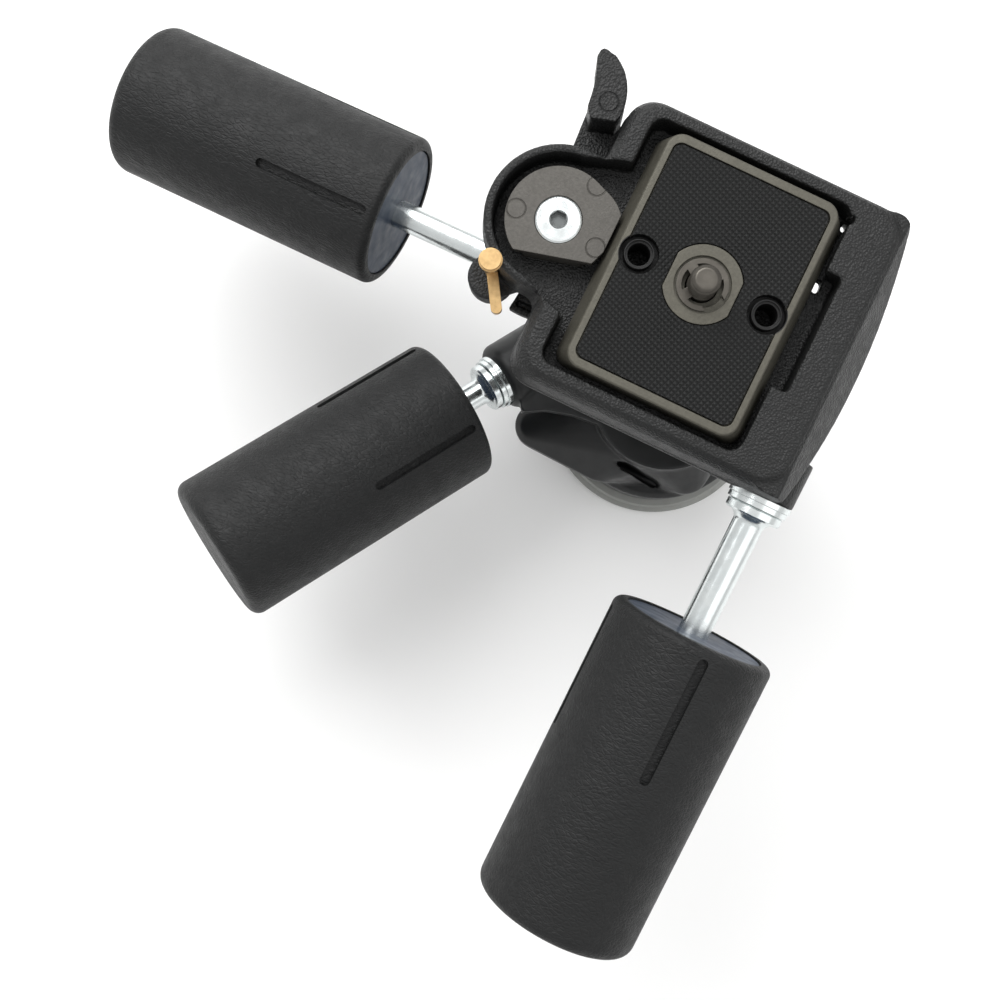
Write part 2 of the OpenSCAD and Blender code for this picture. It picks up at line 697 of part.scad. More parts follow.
// Metal plate with dovetail sides, a raised rim and a hollow underside
module quick_plate() {
    color([0.42, 0.41, 0.37])
    translate([plate_c[0], plate_c[1], 0])
    difference() {
        union() {
            difference() {
                hull() {
                    slab(plate_z, plate_z + 2.2)
                    polygon(round_rect(-plate_w / 2, -plate_l / 2, plate_w / 2, plate_l / 2, 3));
                    slab(plate_z + 6.6, plate_top - 0.3)
                    polygon(round_rect(-plate_top_w / 2, -plate_l / 2, plate_top_w / 2, plate_l / 2, 3.4));
                    slab(plate_top - 0.1, plate_top)
                    polygon(round_rect(-plate_top_w / 2 + 0.3, -plate_l / 2 + 0.3,
                        plate_top_w / 2 - 0.3, plate_l / 2 - 0.3, 3.1));
                }
                slab(pad_z, plate_top + 1)
                polygon(round_rect(-plate_top_w / 2 + 1.45, -plate_l / 2 + 1.85,
                    plate_top_w / 2 - 1.45, plate_l / 2 - 1.85, 2));
                slab(plate_z - 1, skin_z)
                polygon(round_rect(-plate_top_w / 2 + 2.2, -plate_l / 2 + 3, plate_top_w / 2 - 2.2, plate_l / 2 - 3, 2.5));
            }
            slab(pad_z - 0.1, plate_top - 0.1) plate_islands(0);
            for (x = [-pin_x, pin_x])
                translate([x, 0, 0]) rod(4.2, plate_z + 0.6, skin_z + 0.1);
        }
        rod(camera_thread_d / 2 + 0.25, plate_z, plate_top + 1);
        rod(5.9, plate_top - 0.9, plate_top + 1);
        rod(4.6, plate_top - 2.4, plate_top + 1);
        for (x = [-pin_x, pin_x])
            translate([x, 0, 0]) {
                rod(pin_r, plate_z - 1, plate_top + 1);
                // sunk ring round the hole
                rod(2.85, plate_top - 0.7, plate_top + 1);
                difference() {
                    rod(4.1, plate_top - 2.8, plate_top + 1);
                    rod(3.1, plate_top - 3, plate_top + 2);
                }
            }
    }
}

// Rubber pad, let into the plate round its islands
module plate_pad() {
    color([0.08, 0.08, 0.08])
    translate([plate_c[0], plate_c[1], 0])
    slab(pad_z + fit_seat, plate_top)
    difference() {
        polygon(round_rect(-plate_top_w / 2 + 1.8, -plate_l / 2 + 2.2, plate_top_w / 2 - 1.8, plate_l / 2 - 2.2, 1.8));
        plate_islands(0.25);
    }
}

// Camera screw: slotted head under the plate, groove for the clip, thread above it
module camera_screw() {
    thread_r = camera_thread_d / 2;
    color([0.3, 0.3, 0.3])
    translate([plate_c[0], plate_c[1], 0])
    difference() {
        rotate_extrude()
        polygon([
            [0, skin_z - 3.4], [7.5, skin_z - 3.4], [8, skin_z - 2.9], [8, skin_z - 0.1], [thread_r, skin_z - 0.1],
            [thread_r, plate_top - 0.86], [thread_r - 0.5, plate_top - 0.86], [thread_r - 0.5, plate_top - 0.2],
            [thread_r, plate_top - 0.2], [thread_r, plate_top + camera_screw_h - 1],
            [thread_r - 1, plate_top + camera_screw_h], [0, plate_top + camera_screw_h]]);
        translate([-9, -0.9, skin_z - 4]) cube([18, 1.8, 1.8]);
    }
}

// E-shaped clip in the camera screw's groove
module screw_clip() {
    inner_r = camera_thread_d / 2 - 0.5 + fit_seat;
    clip_az = -35;
    color([0.25, 0.25, 0.24])
    translate([plate_c[0], plate_c[1], 0])
    slab(plate_top - 0.8, plate_top - 0.25)
    rotate(clip_az)
    difference() {
        union() {
            difference() {
                circle(r = 5.4);
                circle(r = 4.3);
            }
            for (a = [90, 180, 270])
                rotate(a) translate([inner_r - 0.6, -1.1]) square([5 - inner_r + 0.6, 2.2]);
        }
        circle(r = inner_r);
        translate([0, -2.3]) square([8, 4.6]);
    }
}

// ---------------------------------------------------------------- lever, cam and catch

// Outline of the cam: a disc that swells to a nose, with one flat
module cam_outline(in) {
    flat_az = -75;
    flat_d = 7.7;
    nose_az = 14;
    small_r = 8.6;
    nose_d = nose_r - small_r;
    nose_x = plate_c[0] - plate_top_w / 2 - 2.1 - cam_c[0];
    turn = acos((cam_r - small_r) / nose_d);
    nose_c = nose_d * [cos(nose_az), sin(nose_az)];
    difference() {
        polygon(concat(arc([0, 0], cam_r - in, nose_az + turn, nose_az + 360 - turn, 48),
            arc(nose_c, small_r - in, nose_az - turn, nose_az + turn, 16)));
        rotate(flat_az) translate([flat_d, -20]) square([20, 40]);
        // the nose's contact face, and a second face that leads away from it as the lever opens
        for (az = [0, -20])
            rotate(az) translate([nose_x - in, -20]) square([20, 40]);
    }
}

// Cam disc that presses the plate home
module clamp_cam() {
    color([0.36, 0.34, 0.31])
    translate([cam_c[0], cam_c[1], 0])
    difference() {
        union() {
            slab(cam_z, cam_top - 2.4) cam_outline(1.4);
            slab(cam_top - 2.4, cam_top) cam_outline(0);
        }
        rod(2.5 + 0.1, cam_z - 1, cam_top + 1);
        rod(cam_screw_r + 0.1, cam_top - 1.8, cam_top + 1);
    }
}

// Hex socket screw that holds the cam to the lever
module cam_screw() {
    color([0.75, 0.77, 0.78])
    translate([cam_c[0], cam_c[1], 0])
    difference() {
        union() {
            rod(cam_screw_r, cam_top - 1.8, cam_top - 0.1);
            translate([0, 0, cam_top - 0.1]) cylinder(r1 = cam_screw_r, r2 = cam_screw_r - 0.4, h = 0.3);
            rod(2.5, lever_z + 1, cam_top - 1.8);
        }
        translate([0, 0, cam_top - 1.6]) cylinder(r = 1.85, h = 3, $fn = 6);
    }
}

// Release lever: hub under the housing, pivot through the deck, arm, raised finger and hooked tail
module release_lever() {
    finger_c = [-9.4, 26.1];
    finger_in = [-33, 22.5];
    color([0.09, 0.09, 0.09])
    translate([cam_c[0], cam_c[1], 0])
    difference() {
        union() {
            rod(hub_r, lever_z, deck_z - 0.4);
            rod(pivot_r, lever_z, cam_z);
            // arm
            slab(lever_z, deck_z - 0.4)
            polygon([[-5.5, 0], [6, 0], [2.9, 14], [2.6, 26], [-5.5, 26], [-4.7, 14]]);
            // finger, curled away from the platform at its tip
            slab(lever_z, deck_z + finger_h)
            polygon(concat(
                arc(finger_c, 11.5, -12, 62),
                arc([-6.6, 35.7], 1.1, 95, 195, 6),
                arc(finger_in, 28, 26, 4, 6), [[-3.5, 22.2]]));
            // tail behind the hub
            slab(lever_z, lever_z + 3)
            difference() {
                polygon(concat([[0, 0]], arc([0, 0], 19.4, -97, -72)));
                circle(r = 5);
            }
        }
        // slot in the tail
        translate([-1.4, -18, lever_z + 1.6]) cube([6, 1.3, 5]);
        rod(2.5 + 0.1, lever_z - 1, cam_z + 1);
        // ring-shaped room for the spring, open at its top
        difference() {
            rod(spring_r + 1.2, lever_z + 1.2, deck_z);
            rod(spring_r - 1.2, lever_z, deck_z + 1);
        }
    }
}

// Torsion spring in the lever's hub: one open coil of round wire
module lever_spring() {
    rings = 34;
    sides = 6;
    pitch = spring_wire + 0.15;
    color([0.6, 0.6, 0.6])
    translate([cam_c[0], cam_c[1], lever_z + 1.3 + spring_wire / 2])
    polyhedron(
        points = [for (i = [0 : rings]) for (k = [0 : sides - 1])
            let (a = 360 * spring_turns * i / rings, b = 360 * k / sides,
                r = spring_r + spring_wire / 2 * cos(b))
            [r * cos(a), r * sin(a), pitch * spring_turns * i / rings + spring_wire / 2 * sin(b)]],
        faces = concat(
            [[for (k = [0 : sides - 1]) k]],
            [[for (k = [sides - 1 : -1 : 0]) rings * sides + k]],
            [for (i = [0 : rings - 1]) for (k = [0 : sides - 1])
                [i * sides + k, (i + 1) * sides + k, (i + 1) * sides + (k + 1) % sides]],
            [for (i = [0 : rings - 1]) for (k = [0 : sides - 1])
                [i * sides + k, (i + 1) * sides + (k + 1) % sides, i * sides + (k + 1) % sides]]));
}

// Brass catch: round head, post and arm with a round end
module safety_catch() {
    arm_r = 1.2;
    arm_z = deck_z + 2.3;
    head_z = rim_z + 0.15;
    color([0.78, 0.58, 0.27])
    translate([catch_c[0], catch_c[1], 0])
    difference() {
        union() {
            rod(catch_post_r, catch_z + 0.1, head_z + 0.1);
            rod(catch_r, head_z, head_z + 0.7);
            rod(catch_r - 0.25, head_z + 0.6, head_z + 1.7);
            rotate(catch_az) {
                slab(arm_z, arm_z + 2) translate([0, -arm_r]) square([catch_l - arm_r, 2 * arm_r]);
                translate([catch_l - arm_r, 0, 0]) rod(arm_r, arm_z, arm_z + 2);
            }
        }
        rod(catch_pin_r + fit_run, catch_z, catch_z + 4.8);
    }
}

// ---------------------------------------------------------------- handles

// Rod with its flared flange and threaded shank; jaw is where the washers start
module handle_rod(jaw, end, reach) {
    f0 = jaw + 2 * washer_t + 0.1;
    f1 = f0 + flange_t;
    color([0.78, 0.8, 0.8])
    rotate_extrude()
    polygon(concat(
        [[0, end], [shank_r - 0.8, end], [shank_r, end + 0.8], [shank_r, f0], [flange_d / 2 - 0.3, f0],
            [flange_d / 2, f0 + 0.3], [flange_d / 2, f1 - 0.4]],
        // the flare down to the rod
        [[flange_d / 2 - 0.4, f1]],
        [for (i = [0 : 6]) let (t = i / 6) [rod_r + 1.3 * pow(1 - t, 2), f1 + 1.8 * t]],
        [[rod_r, reach + boss_l], [0, reach + boss_l]]));
}

// Two loose washers between the jaw and the flange
module handle_washers(jaw) {
    color([0.72, 0.74, 0.75])
    for (k = [0, 1])
        difference() {
            rod(washer_d / 2 - 0.35 * k, jaw + 0.05 + k * washer_t, jaw + (k + 1) * washer_t);
            rod(screw_hole_r, jaw - 1, jaw + 5);
        }
}

// Plastic core: end disc, boss round the rod and the tube inside the grip
module handle_core(reach) {
    boss_r = rod_r + 3;
    tube_l = grip_l - grip_wall - 1;
    color([0.17, 0.2, 0.26])
    rotate_extrude()
    polygon([[rod_r + fit_seat, reach], [core_r - 0.3, reach], [core_r, reach + 0.3],
        [core_r, reach + tube_l], [core_r - core_wall, reach + tube_l],
        [core_r - core_wall, reach + core_disc_t], [boss_r, reach + core_disc_t],
        [boss_r, reach + boss_l], [rod_r + fit_seat, reach + boss_l]]);
}

// Rubber grip with round edges and shallow grooves that start near its open end
module handle_grip(reach, roll) {
    s0 = reach - lip;
    s1 = reach + grip_l;
    in_r = core_r + fit_seat;
    groove_s = s0 + groove_start;
    color([0.06, 0.06, 0.06])
    difference() {
        rotate_extrude()
        polygon(concat(
            [[in_r, s1 - grip_wall], [in_r, s0]],
            arc([grip_r - open_round, s0 + open_round], open_round, 270, 360, 8),
            arc([grip_r - grip_round, s1 - grip_round], grip_round, 0, 90, 8),
            [[0, s1], [0, s1 - grip_wall]]));
        for (i = [0 : groove_n - 1])
            rotate([0, 0, 180 + roll + 360 * i / groove_n]) {
                translate([grip_r - groove_depth, -groove_w / 2, groove_s + groove_w / 2])
                cube([5, groove_w, groove_l - groove_w]);
                for (end = [groove_w / 2, groove_l - groove_w / 2])
                    translate([grip_r - groove_depth, 0, groove_s + end])
                    rotate([0, 90, 0]) cylinder(r = groove_w / 2, h = 5);
            }
    }
}

// Captive hex nut on the shank
module handle_nut(s) {
    color([0.7, 0.7, 0.7])
    difference() {
        translate([0, 0, s - nut_t]) rotate(30) cylinder(r = nut_r, h = nut_t, $fn = 6);
        rod(shank_r + fit_run, s - nut_t - 1, s + 1);
    }
}

module tilt_rod() {
    tilt_frame() handle_rod(tilt_jaw, tilt_nut_s - nut_t - 1, tilt_reach);
}

module tilt_washers() {
    tilt_frame() handle_washers(tilt_jaw);
}

module tilt_core() {
    tilt_frame() handle_core(tilt_reach);
}

module tilt_grip() {
    tilt_frame() handle_grip(tilt_reach, tilt_roll);
}

module tilt_nut() {
    tilt_frame() handle_nut(tilt_nut_s);
}

module pan_rod() {
    pan_frame() handle_rod(pan_jaw, pan_nut_s - nut_t - 1, pan_reach);
}

module pan_washers() {
    pan_frame() handle_washers(pan_jaw);
}

module pan_core() {
    pan_frame() handle_core(pan_reach);
}

module pan_grip() {
    pan_frame() handle_grip(pan_reach, pan_roll);
}

module pan_nut() {
    pan_frame() handle_nut(pan_nut_s);
}

module side_rod() {
    side_frame() handle_rod(side_jaw, side_nut_s - nut_t - 1, side_reach);
}

module side_washers() {
    side_frame() handle_washers(side_jaw);
}

module side_core() {
    side_frame() handle_core(side_reach);
}

module side_grip() {
    side_frame() handle_grip(side_reach, side_roll);
}

// Round threaded insert, cast into the right cheek
module side_nut() {
    color([0.7, 0.7, 0.7])
    side_frame()
    difference() {
        rod(side_nut_r, side_nut_s - nut_t, side_nut_s);
        rod(shank_r + fit_run, side_nut_s - nut_t - 1, side_nut_s + 1);
    }
}

base_disc();
tripod_bush();
thrust_washer();
pan_retainer();
pan_body();
pan_cover();
tilt_axle();
axle_screws();
pan_nut();
tilt_block();
side_axle();
tilt_nut();
platform();
axle_cap();
side_nut();
quick_plate();
plate_pad();
catch_pivot();
camera_screw();
screw_clip();
release_lever();
clamp_cam();
cam_screw();
lever_spring();
safety_catch();
tilt_rod();
tilt_washers();
tilt_core();
tilt_grip();
pan_rod();
pan_washers();
pan_core();
pan_grip();
side_rod();
side_washers();
side_core();
side_grip();
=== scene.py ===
import math
import bpy
from mathutils import Matrix, Vector


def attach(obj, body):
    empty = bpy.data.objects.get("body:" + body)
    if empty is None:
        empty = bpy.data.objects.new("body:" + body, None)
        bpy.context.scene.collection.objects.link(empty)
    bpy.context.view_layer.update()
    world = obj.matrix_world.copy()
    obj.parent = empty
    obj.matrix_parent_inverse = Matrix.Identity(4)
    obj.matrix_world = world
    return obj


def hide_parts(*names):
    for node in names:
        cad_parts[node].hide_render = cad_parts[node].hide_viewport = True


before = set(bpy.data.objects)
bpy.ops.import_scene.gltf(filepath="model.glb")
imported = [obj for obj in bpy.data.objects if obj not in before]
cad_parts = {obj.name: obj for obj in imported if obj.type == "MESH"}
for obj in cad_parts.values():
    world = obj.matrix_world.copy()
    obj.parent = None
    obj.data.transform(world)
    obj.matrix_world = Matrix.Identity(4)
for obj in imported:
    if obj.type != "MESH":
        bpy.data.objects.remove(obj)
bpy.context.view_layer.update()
MM = 0.001

# ------------------------------------------------------------------ places and sizes, in mm

PLATE_C = (-7.0, 13.2)  # the camera screw, in the middle of the plate
PIN_X = 14.35  # from the camera screw to each pin hole
# Painted shade: the plate is darkened round each pin hole, standing in for the shade inside the
# hole.
PIN_SHADE_R = 4.3  # the plate is dark this far round a pin hole
CAM_C = (-39.5, 13.2)  # the screw in the cam
SOCKET_R = 1.95  # its hex socket
CORNER_C = (23.1, 40.5)  # centre of the round on the platform's rear right corner
CORNER_R = 4.0

# Marks of ejector pins: their centres, the radius of the groove and its half width.
CAM_MARKS = ((-48.4, 11.5), (-35.3, 22.9), (-30.0, 11.2))
FINGER_MARKS = ((-40.8, 40.1),)
MARK_R = 2.0
MARK_W = 0.22

# The camera screw's 1/4 inch thread, which starts just over the plate.
THREAD_Z = 125.1
THREAD_R = 3.175
THREAD_PITCH = 1.27
THREAD_DEPTH = 0.55
SHANK_R = 0.6 * THREAD_R  # points nearer to the axis are on the screw's end and stay

KNURL_PITCH = 0.95
PLATE_TURN = 20  # of the pad's knurl and the alloy's brushing about Z, in degrees
GRIP_TURN = {"tilt": 0, "pan": 31, "side": 90}  # of each grip's leather grain about Z

# ------------------------------------------------------------------ material helpers


class Mat:
    """A node material that is built up call by call."""

    def __init__(self, name, color, rough, metallic=0.0, ior=1.5):
        self.mat = bpy.data.materials.new(name)
        self.mat.use_nodes = True
        self.tree = self.mat.node_tree
        self.bsdf = next(n for n in self.tree.nodes if n.type == "BSDF_PRINCIPLED")
        self.put(self.bsdf.inputs["Base Color"], (*color, 1))
        self.put(self.bsdf.inputs["Roughness"], rough)
        self.put(self.bsdf.inputs["Metallic"], metallic)
        self.put(self.bsdf.inputs["IOR"], ior)
        self.color = color
        self.place = self.node("TexCoord").outputs["Object"]
        self.normal = None

    def put(self, socket, value):
        """Links the socket to an output, or sets it to a value."""
        if isinstance(value, bpy.types.NodeSocket):
            self.tree.links.new(value, socket)
        else:
            socket.default_value = value

    def node(self, kind, inputs=None, **settings):
        """A new node with its settings, and its sockets by name or index."""
        node = self.tree.nodes.new("ShaderNode" + kind)
        for key, value in settings.items():
            setattr(node, key, value)
        for key, value in (inputs or {}).items():
            self.put(node.inputs[key], value)
        return node

    # Values over the surface. Each call gives an output.

    def stretched(self, scale, turn=0):
        """Place on the object, turned about Z by so many degrees and scaled."""
        turn = (0, 0, math.radians(turn))
        inputs = {"Vector": self.place, "Rotation": turn, "Scale": scale}
        return self.node("Mapping", inputs).outputs["Vector"]

    def noise(self, scale, detail, rough=0.55, vec=None, distort=0.0, out="Fac"):
        inputs = {"Vector": vec or self.place, "Scale": scale, "Detail": detail,
                  "Roughness": rough, "Distortion": distort}
        return self.node("TexNoise", inputs).outputs[out]

    def cells(self, scale, feature, vec=None, smooth=None):
        inputs = {"Vector": vec or self.place, "Scale": scale}
        if smooth is not None:
            inputs["Smoothness"] = smooth
        return self.node("TexVoronoi", inputs, feature=feature).outputs["Distance"]

    def calc(self, operation, *values):
        return self.node("Math", dict(enumerate(values)), operation=operation).outputs[0]

    def ramp(self, fac, lo, hi, a=0.0, b=1.0):
        """Goes from a to b while fac goes from lo to hi."""
        inputs = {"Value": fac, "From Min": lo, "From Max": hi, "To Min": a, "To Max": b}
        return self.node("MapRange", inputs).outputs["Result"]

    def distance(self, centre_mm):
        """Distance in mm from an upright axis through the centre."""
        split = self.node("SeparateXYZ", {0: self.place})
        dx = self.calc("SUBTRACT", split.outputs[0], centre_mm[0] * MM)
        dy = self.calc("SUBTRACT", split.outputs[1], centre_mm[1] * MM)
        square = self.calc("ADD", self.calc("MULTIPLY", dx, dx), self.calc("MULTIPLY", dy, dy))
        return self.calc("MULTIPLY", self.calc("SQRT", square), 1 / MM)

    def ring_marks(self, centres_mm):
        """Height with a fine round groove about each centre, as an ejector pin leaves."""
        height = None
        for centre in centres_mm:
            off = self.calc("ABSOLUTE", self.calc("SUBTRACT", self.distance(centre), MARK_R))
            ring = self.ramp(off, 0.0, MARK_W)
            height = ring if height is None else self.calc("MINIMUM", height, ring)
        return height

    # Changes to the shader. Each call gives the material, so that the next can follow it.

    def mix_base(self, fac, a, b):
        """Base colour that goes from a to b while fac goes from 0 to 1."""
        mix = self.node("Mix", {0: fac}, data_type="RGBA")
        ends = [s for s in mix.inputs if s.type == "RGBA"]
        self.put(ends[0], a)
        self.put(ends[1], b)
        out = next(s for s in mix.outputs if s.type == "RGBA")
        self.put(self.bsdf.inputs["Base Color"], out)
        return self

    def tint(self, fac, dark, light):
        """Base colour between two colours, or between two factors of the plain colour."""
        ends = []
        for end in (dark, light):
            rgb = end if isinstance(end, tuple) else tuple(x * end for x in self.color)
            ends.append((*rgb, 1))
        return self.mix_base(fac, *ends)

    def paint_shade(self, mask, dark):
        """Painted shade: base colour as it was where the mask is 0, and a dark one where it is
        1.
        """
        old = self.bsdf.inputs["Base Color"].links[0].from_socket
        return self.mix_base(mask, old, (*dark, 1))

    def roughen(self, fac, a, b):
        """Roughness that goes from a to b over the middle of the noise."""
        self.put(self.bsdf.inputs["Roughness"], self.ramp(fac, 0.3, 0.7, a, b))
        return self

    def shade(self, node):
        """Takes the node's normal for the surface, and for the next bump to build on."""
        self.normal = node.outputs["Normal"]
        self.put(self.bsdf.inputs["Normal"], self.normal)
        return self

    def bump(self, height, strength, depth_mm):
        inputs = {"Height": height, "Strength": strength, "Distance": depth_mm * MM}
        if self.normal:
            inputs["Normal"] = self.normal
        return self.shade(self.node("Bump", inputs))

    def round_edges(self, radius_mm):
        """Rounds the edges in the render alone. It comes before the bumps."""
        return self.shade(self.node("Bevel", {"Radius": radius_mm * MM}, samples=6))


def surface(name, color, rough, *, bumps, tint, gloss=None, metallic=0.0, ior=1.5, edge_mm=None):
    """A material with plain noise in its bump, its colour and its roughness.

    bumps: for each noise its scale, detail, strength and depth in mm
    tint: noise scale, detail, and the two ends of the colour, as Mat.tint takes them
    gloss: noise scale, detail, and the two ends of the roughness
    """
    m = Mat(name, color, rough, metallic, ior)
    if edge_mm:
        m.round_edges(edge_mm)
    for scale, detail, strength, depth_mm in bumps:
        m.bump(m.noise(scale, detail), strength, depth_mm)
    m.tint(m.noise(*tint[:2]), *tint[2:])
    if gloss:
        m.roughen(m.noise(*gloss[:2]), *gloss[2:])
    return m


# ------------------------------------------------------------------ materials


def powder_coat(name, marks=()):
    """Black pebbled paint, with the marks of ejector pins."""
    m = Mat(name, (0.0085, 0.0088, 0.0088), 0.42, ior=1.4)
    m.bump(m.cells(2100, "SMOOTH_F1", smooth=0.5), 1.0, 0.22)
    m.bump(m.noise(3600, 3, 0.6), 0.8, 0.08)
    if marks:
        m.bump(m.ring_marks(marks), 0.9, 0.25)
    m.tint(m.noise(2600, 4, 0.7), 0.4, 1.8)
    m.roughen(m.noise(420, 4), 0.38, 0.54)
    return m


def brushed_alloy(name, color, shaded_holes=(), marks=()):
    """Grained and brushed metal, with painted shade round the holes, and the marks of ejector
    pins.
    """
    m = Mat(name, color, 0.5, 0.4)
    m.round_edges(0.25)
    m.bump(m.noise(2400, 5), 0.7, 0.08)
    m.bump(m.noise(300, 3, vec=m.stretched((1, 9, 1), PLATE_TURN)), 0.12, 0.05)
    if marks:
        m.bump(m.ring_marks(marks), 0.9, 0.2)
    m.tint(m.noise(1500, 6, 0.7), 0.55, 1.5)
    # Painted shade: the plate is near black round each pin hole, where the hole's depth is in
    # shade.
    for centre in shaded_holes:
        m.paint_shade(m.calc("LESS_THAN", m.distance(centre), PIN_SHADE_R), (0.008, 0.008, 0.008))
    m.roughen(m.noise(500, 4), 0.42, 0.6)
    return m


def zinc():
    """Bright zinc, drawn out along X."""
    m = Mat("zinc_steel", (0.78, 0.81, 0.82), 0.22, 1.0)
    m.round_edges(0.15)
    m.bump(m.noise(500, 5, vec=m.stretched((0.12, 1, 1))), 0.12, 0.04)
    m.tint(m.noise(150, 6, distort=1.5), (0.62, 0.67, 0.68), (0.86, 0.89, 0.88))
    m.roughen(m.noise(400, 5), 0.16, 0.3)
    return m


def socket_zinc():
    """Bright zinc, with painted shade inside the hex socket."""
    m = surface("socket_zinc", (0.78, 0.81, 0.82), 0.24, metallic=1.0, edge_mm=0.15,
                bumps=[(900, 5, 0.12, 0.03)], gloss=(400, 5, 0.2, 0.34),
                tint=(300, 6, (0.66, 0.70, 0.71), (0.86, 0.89, 0.88)))
    # Painted shade: near black inside the hex socket, where its recess is in shade.
    m.paint_shade(m.calc("LESS_THAN", m.distance(CAM_C), SOCKET_R), (0.16, 0.17, 0.17))
    return m


def brass():
    """Brass with dull patches."""
    m = Mat("brass", (0.62, 0.42, 0.18), 0.34, 0.9)
    m.round_edges(0.15)
    m.bump(m.noise(800, 4, vec=m.stretched((1, 1, 4))), 0.15, 0.03)
    m.tint(m.noise(700, 6, 0.7), (0.30, 0.18, 0.07), (0.80, 0.56, 0.28))
    m.roughen(m.noise(500, 4), 0.28, 0.46)
    return m


def grip_rubber(name, turn):
    """Leather-grained rubber: folds, creases between wandering cells, and a fine grain."""
    m = Mat(name, (0.0068, 0.0071, 0.0072), 0.5, ior=1.38)
    along = m.stretched((0.45, 1, 1), turn)
    wander = m.noise(260, 4, 0.5, along, out="Color")
    reach = (0.0016, 0.0016, 0.0016)  # metres
    warped = m.node("VectorMath", {0: wander, 1: reach, 2: along}, operation="MULTIPLY_ADD")
    creases = m.ramp(m.cells(1150, "DISTANCE_TO_EDGE", warped.outputs[0]), 0.0, 0.2)
    m.bump(m.noise(520, 5, 0.6, along, distort=1.2), 0.9, 0.3)
    m.bump(creases, 0.6, 0.12)
    m.bump(m.noise(3200, 4, 0.65, along), 0.9, 0.07)
    m.tint(m.noise(1800, 5, 0.7), 0.5, 1.9)
    m.roughen(m.noise(260, 5), 0.46, 0.62)
    return m


def pad_rubber():
    """Black rubber with a knurl of small pyramids, with painted shade in its grooves and painted
    highlight on its tops.
    """
    m = Mat("pad_rubber", (0.0065, 0.0068, 0.0067), 0.5, ior=1.38)
    per_pitch = 1 / (KNURL_PITCH * MM)
    grid = m.node("SeparateXYZ", {0: m.stretched((per_pitch, per_pitch, 1), PLATE_TURN)})
    pyramid = m.calc("MINIMUM", *(m.calc("PINGPONG", grid.outputs[i], 0.5) for i in (0, 1)))
    m.bump(pyramid, 1.0, 0.8)
    m.bump(m.noise(2400, 3), 0.25, 0.03)
    # Painted shade and highlight: the colour is darker in the knurl's grooves and lighter on its
    # pyramid tops.
    m.tint(m.ramp(pyramid, 0.0, 0.4), 0.15, 2.6)
    m.roughen(m.noise(500, 4), 0.42, 0.56)
    return m


pin_holes = [(PLATE_C[0] + side * PIN_X, PLATE_C[1]) for side in (-1, 1)]

coat = powder_coat("black_powder_coat")
lever_coat = powder_coat("lever_powder_coat", FINGER_MARKS)
plate_alloy = brushed_alloy("olive_alloy", (0.088, 0.083, 0.066), shaded_holes=pin_holes)
cam_alloy = brushed_alloy("cam_alloy", (0.082, 0.077, 0.069), marks=CAM_MARKS)
bright = zinc()
grey = surface("grey_casting", (0.0085, 0.009, 0.0092), 0.42, ior=1.4,
               bumps=[(900, 4, 0.25, 0.03), (60, 2, 0.12, 0.2)],
               tint=(110, 5, 0.8, 1.25), gloss=(300, 4, 0.34, 0.5))
steel = surface("plain_steel", (0.5, 0.5, 0.49), 0.35, metallic=1.0, edge_mm=0.15,
                bumps=[(700, 5, 0.2, 0.03)],
                tint=(200, 6, 0.75, 1.2), gloss=(350, 4, 0.28, 0.46))
dark = surface("dark_steel", (0.09, 0.083, 0.072), 0.4, metallic=0.8, edge_mm=0.12,
               bumps=[(1200, 5, 0.25, 0.03)],
               tint=(420, 6, 0.7, 1.6), gloss=(500, 4, 0.3, 0.5))
alloy = surface("base_alloy", (0.28, 0.285, 0.27), 0.5, metallic=0.5, edge_mm=0.2,
                bumps=[(1300, 5, 0.2, 0.03)],
                tint=(160, 6, 0.82, 1.15), gloss=(400, 4, 0.4, 0.58))
slip = surface("slip_plastic", (0.55, 0.54, 0.5), 0.5,
               bumps=[(800, 3, 0.15, 0.02)],
               tint=(120, 4, 0.85, 1.1), gloss=(300, 4, 0.42, 0.58))
black = surface("black_plastic", (0.012, 0.012, 0.0125), 0.45, edge_mm=0.2,
                bumps=[(1900, 4, 0.3, 0.03)],
                tint=(200, 5, 0.8, 1.3), gloss=(300, 4, 0.4, 0.55))
core = surface("core_plastic", (0.014, 0.028, 0.055), 0.45, ior=1.42,
               bumps=[(900, 4, 0.2, 0.03)],
               tint=(120, 5, 0.8, 1.3), gloss=(300, 4, 0.36, 0.55))

# ------------------------------------------------------------------ pieces from the CAD nodes

SHARP = math.radians(32)  # edges that turn by less are shaded smooth
WELD = 1e-6  # points that are nearer than this, in metres, become one
SMOOTH_FACTOR = 0.5

STEEL_NODES = ("tripod_bush", "pan_retainer", "tilt_axle", "axle_screws", "side_axle",
               "pan_nut", "tilt_nut", "side_nut", "catch_pivot", "lever_spring")


def link(name, data):
    """A new object in the scene."""
    o = bpy.data.objects.new(name, data)
    bpy.context.scene.collection.objects.link(o)
    return o


def dress(mesh, m):
    """Gives the mesh one material and smooth shading."""
    mesh.materials.clear()
    mesh.materials.append(m.mat)
    for p in mesh.polygons:
        p.use_smooth = True


def finish_node(name, m):
    """Shows a CAD node itself, with its sharp edges."""
    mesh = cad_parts[name].data
    dress(mesh, m)
    mesh.set_sharp_from_angle(angle=SHARP)


def round_corner(co):
    """Draws a point in to the round of the platform's rear right corner."""
    dx, dy = co.x - CORNER_C[0] * MM, co.y - CORNER_C[1] * MM
    off = math.hypot(dx, dy)
    if dx > 0 and dy > 0 and off > CORNER_R * MM:
        scale = CORNER_R * MM / off
        co.x = CORNER_C[0] * MM + dx * scale
        co.y = CORNER_C[1] * MM + dy * scale


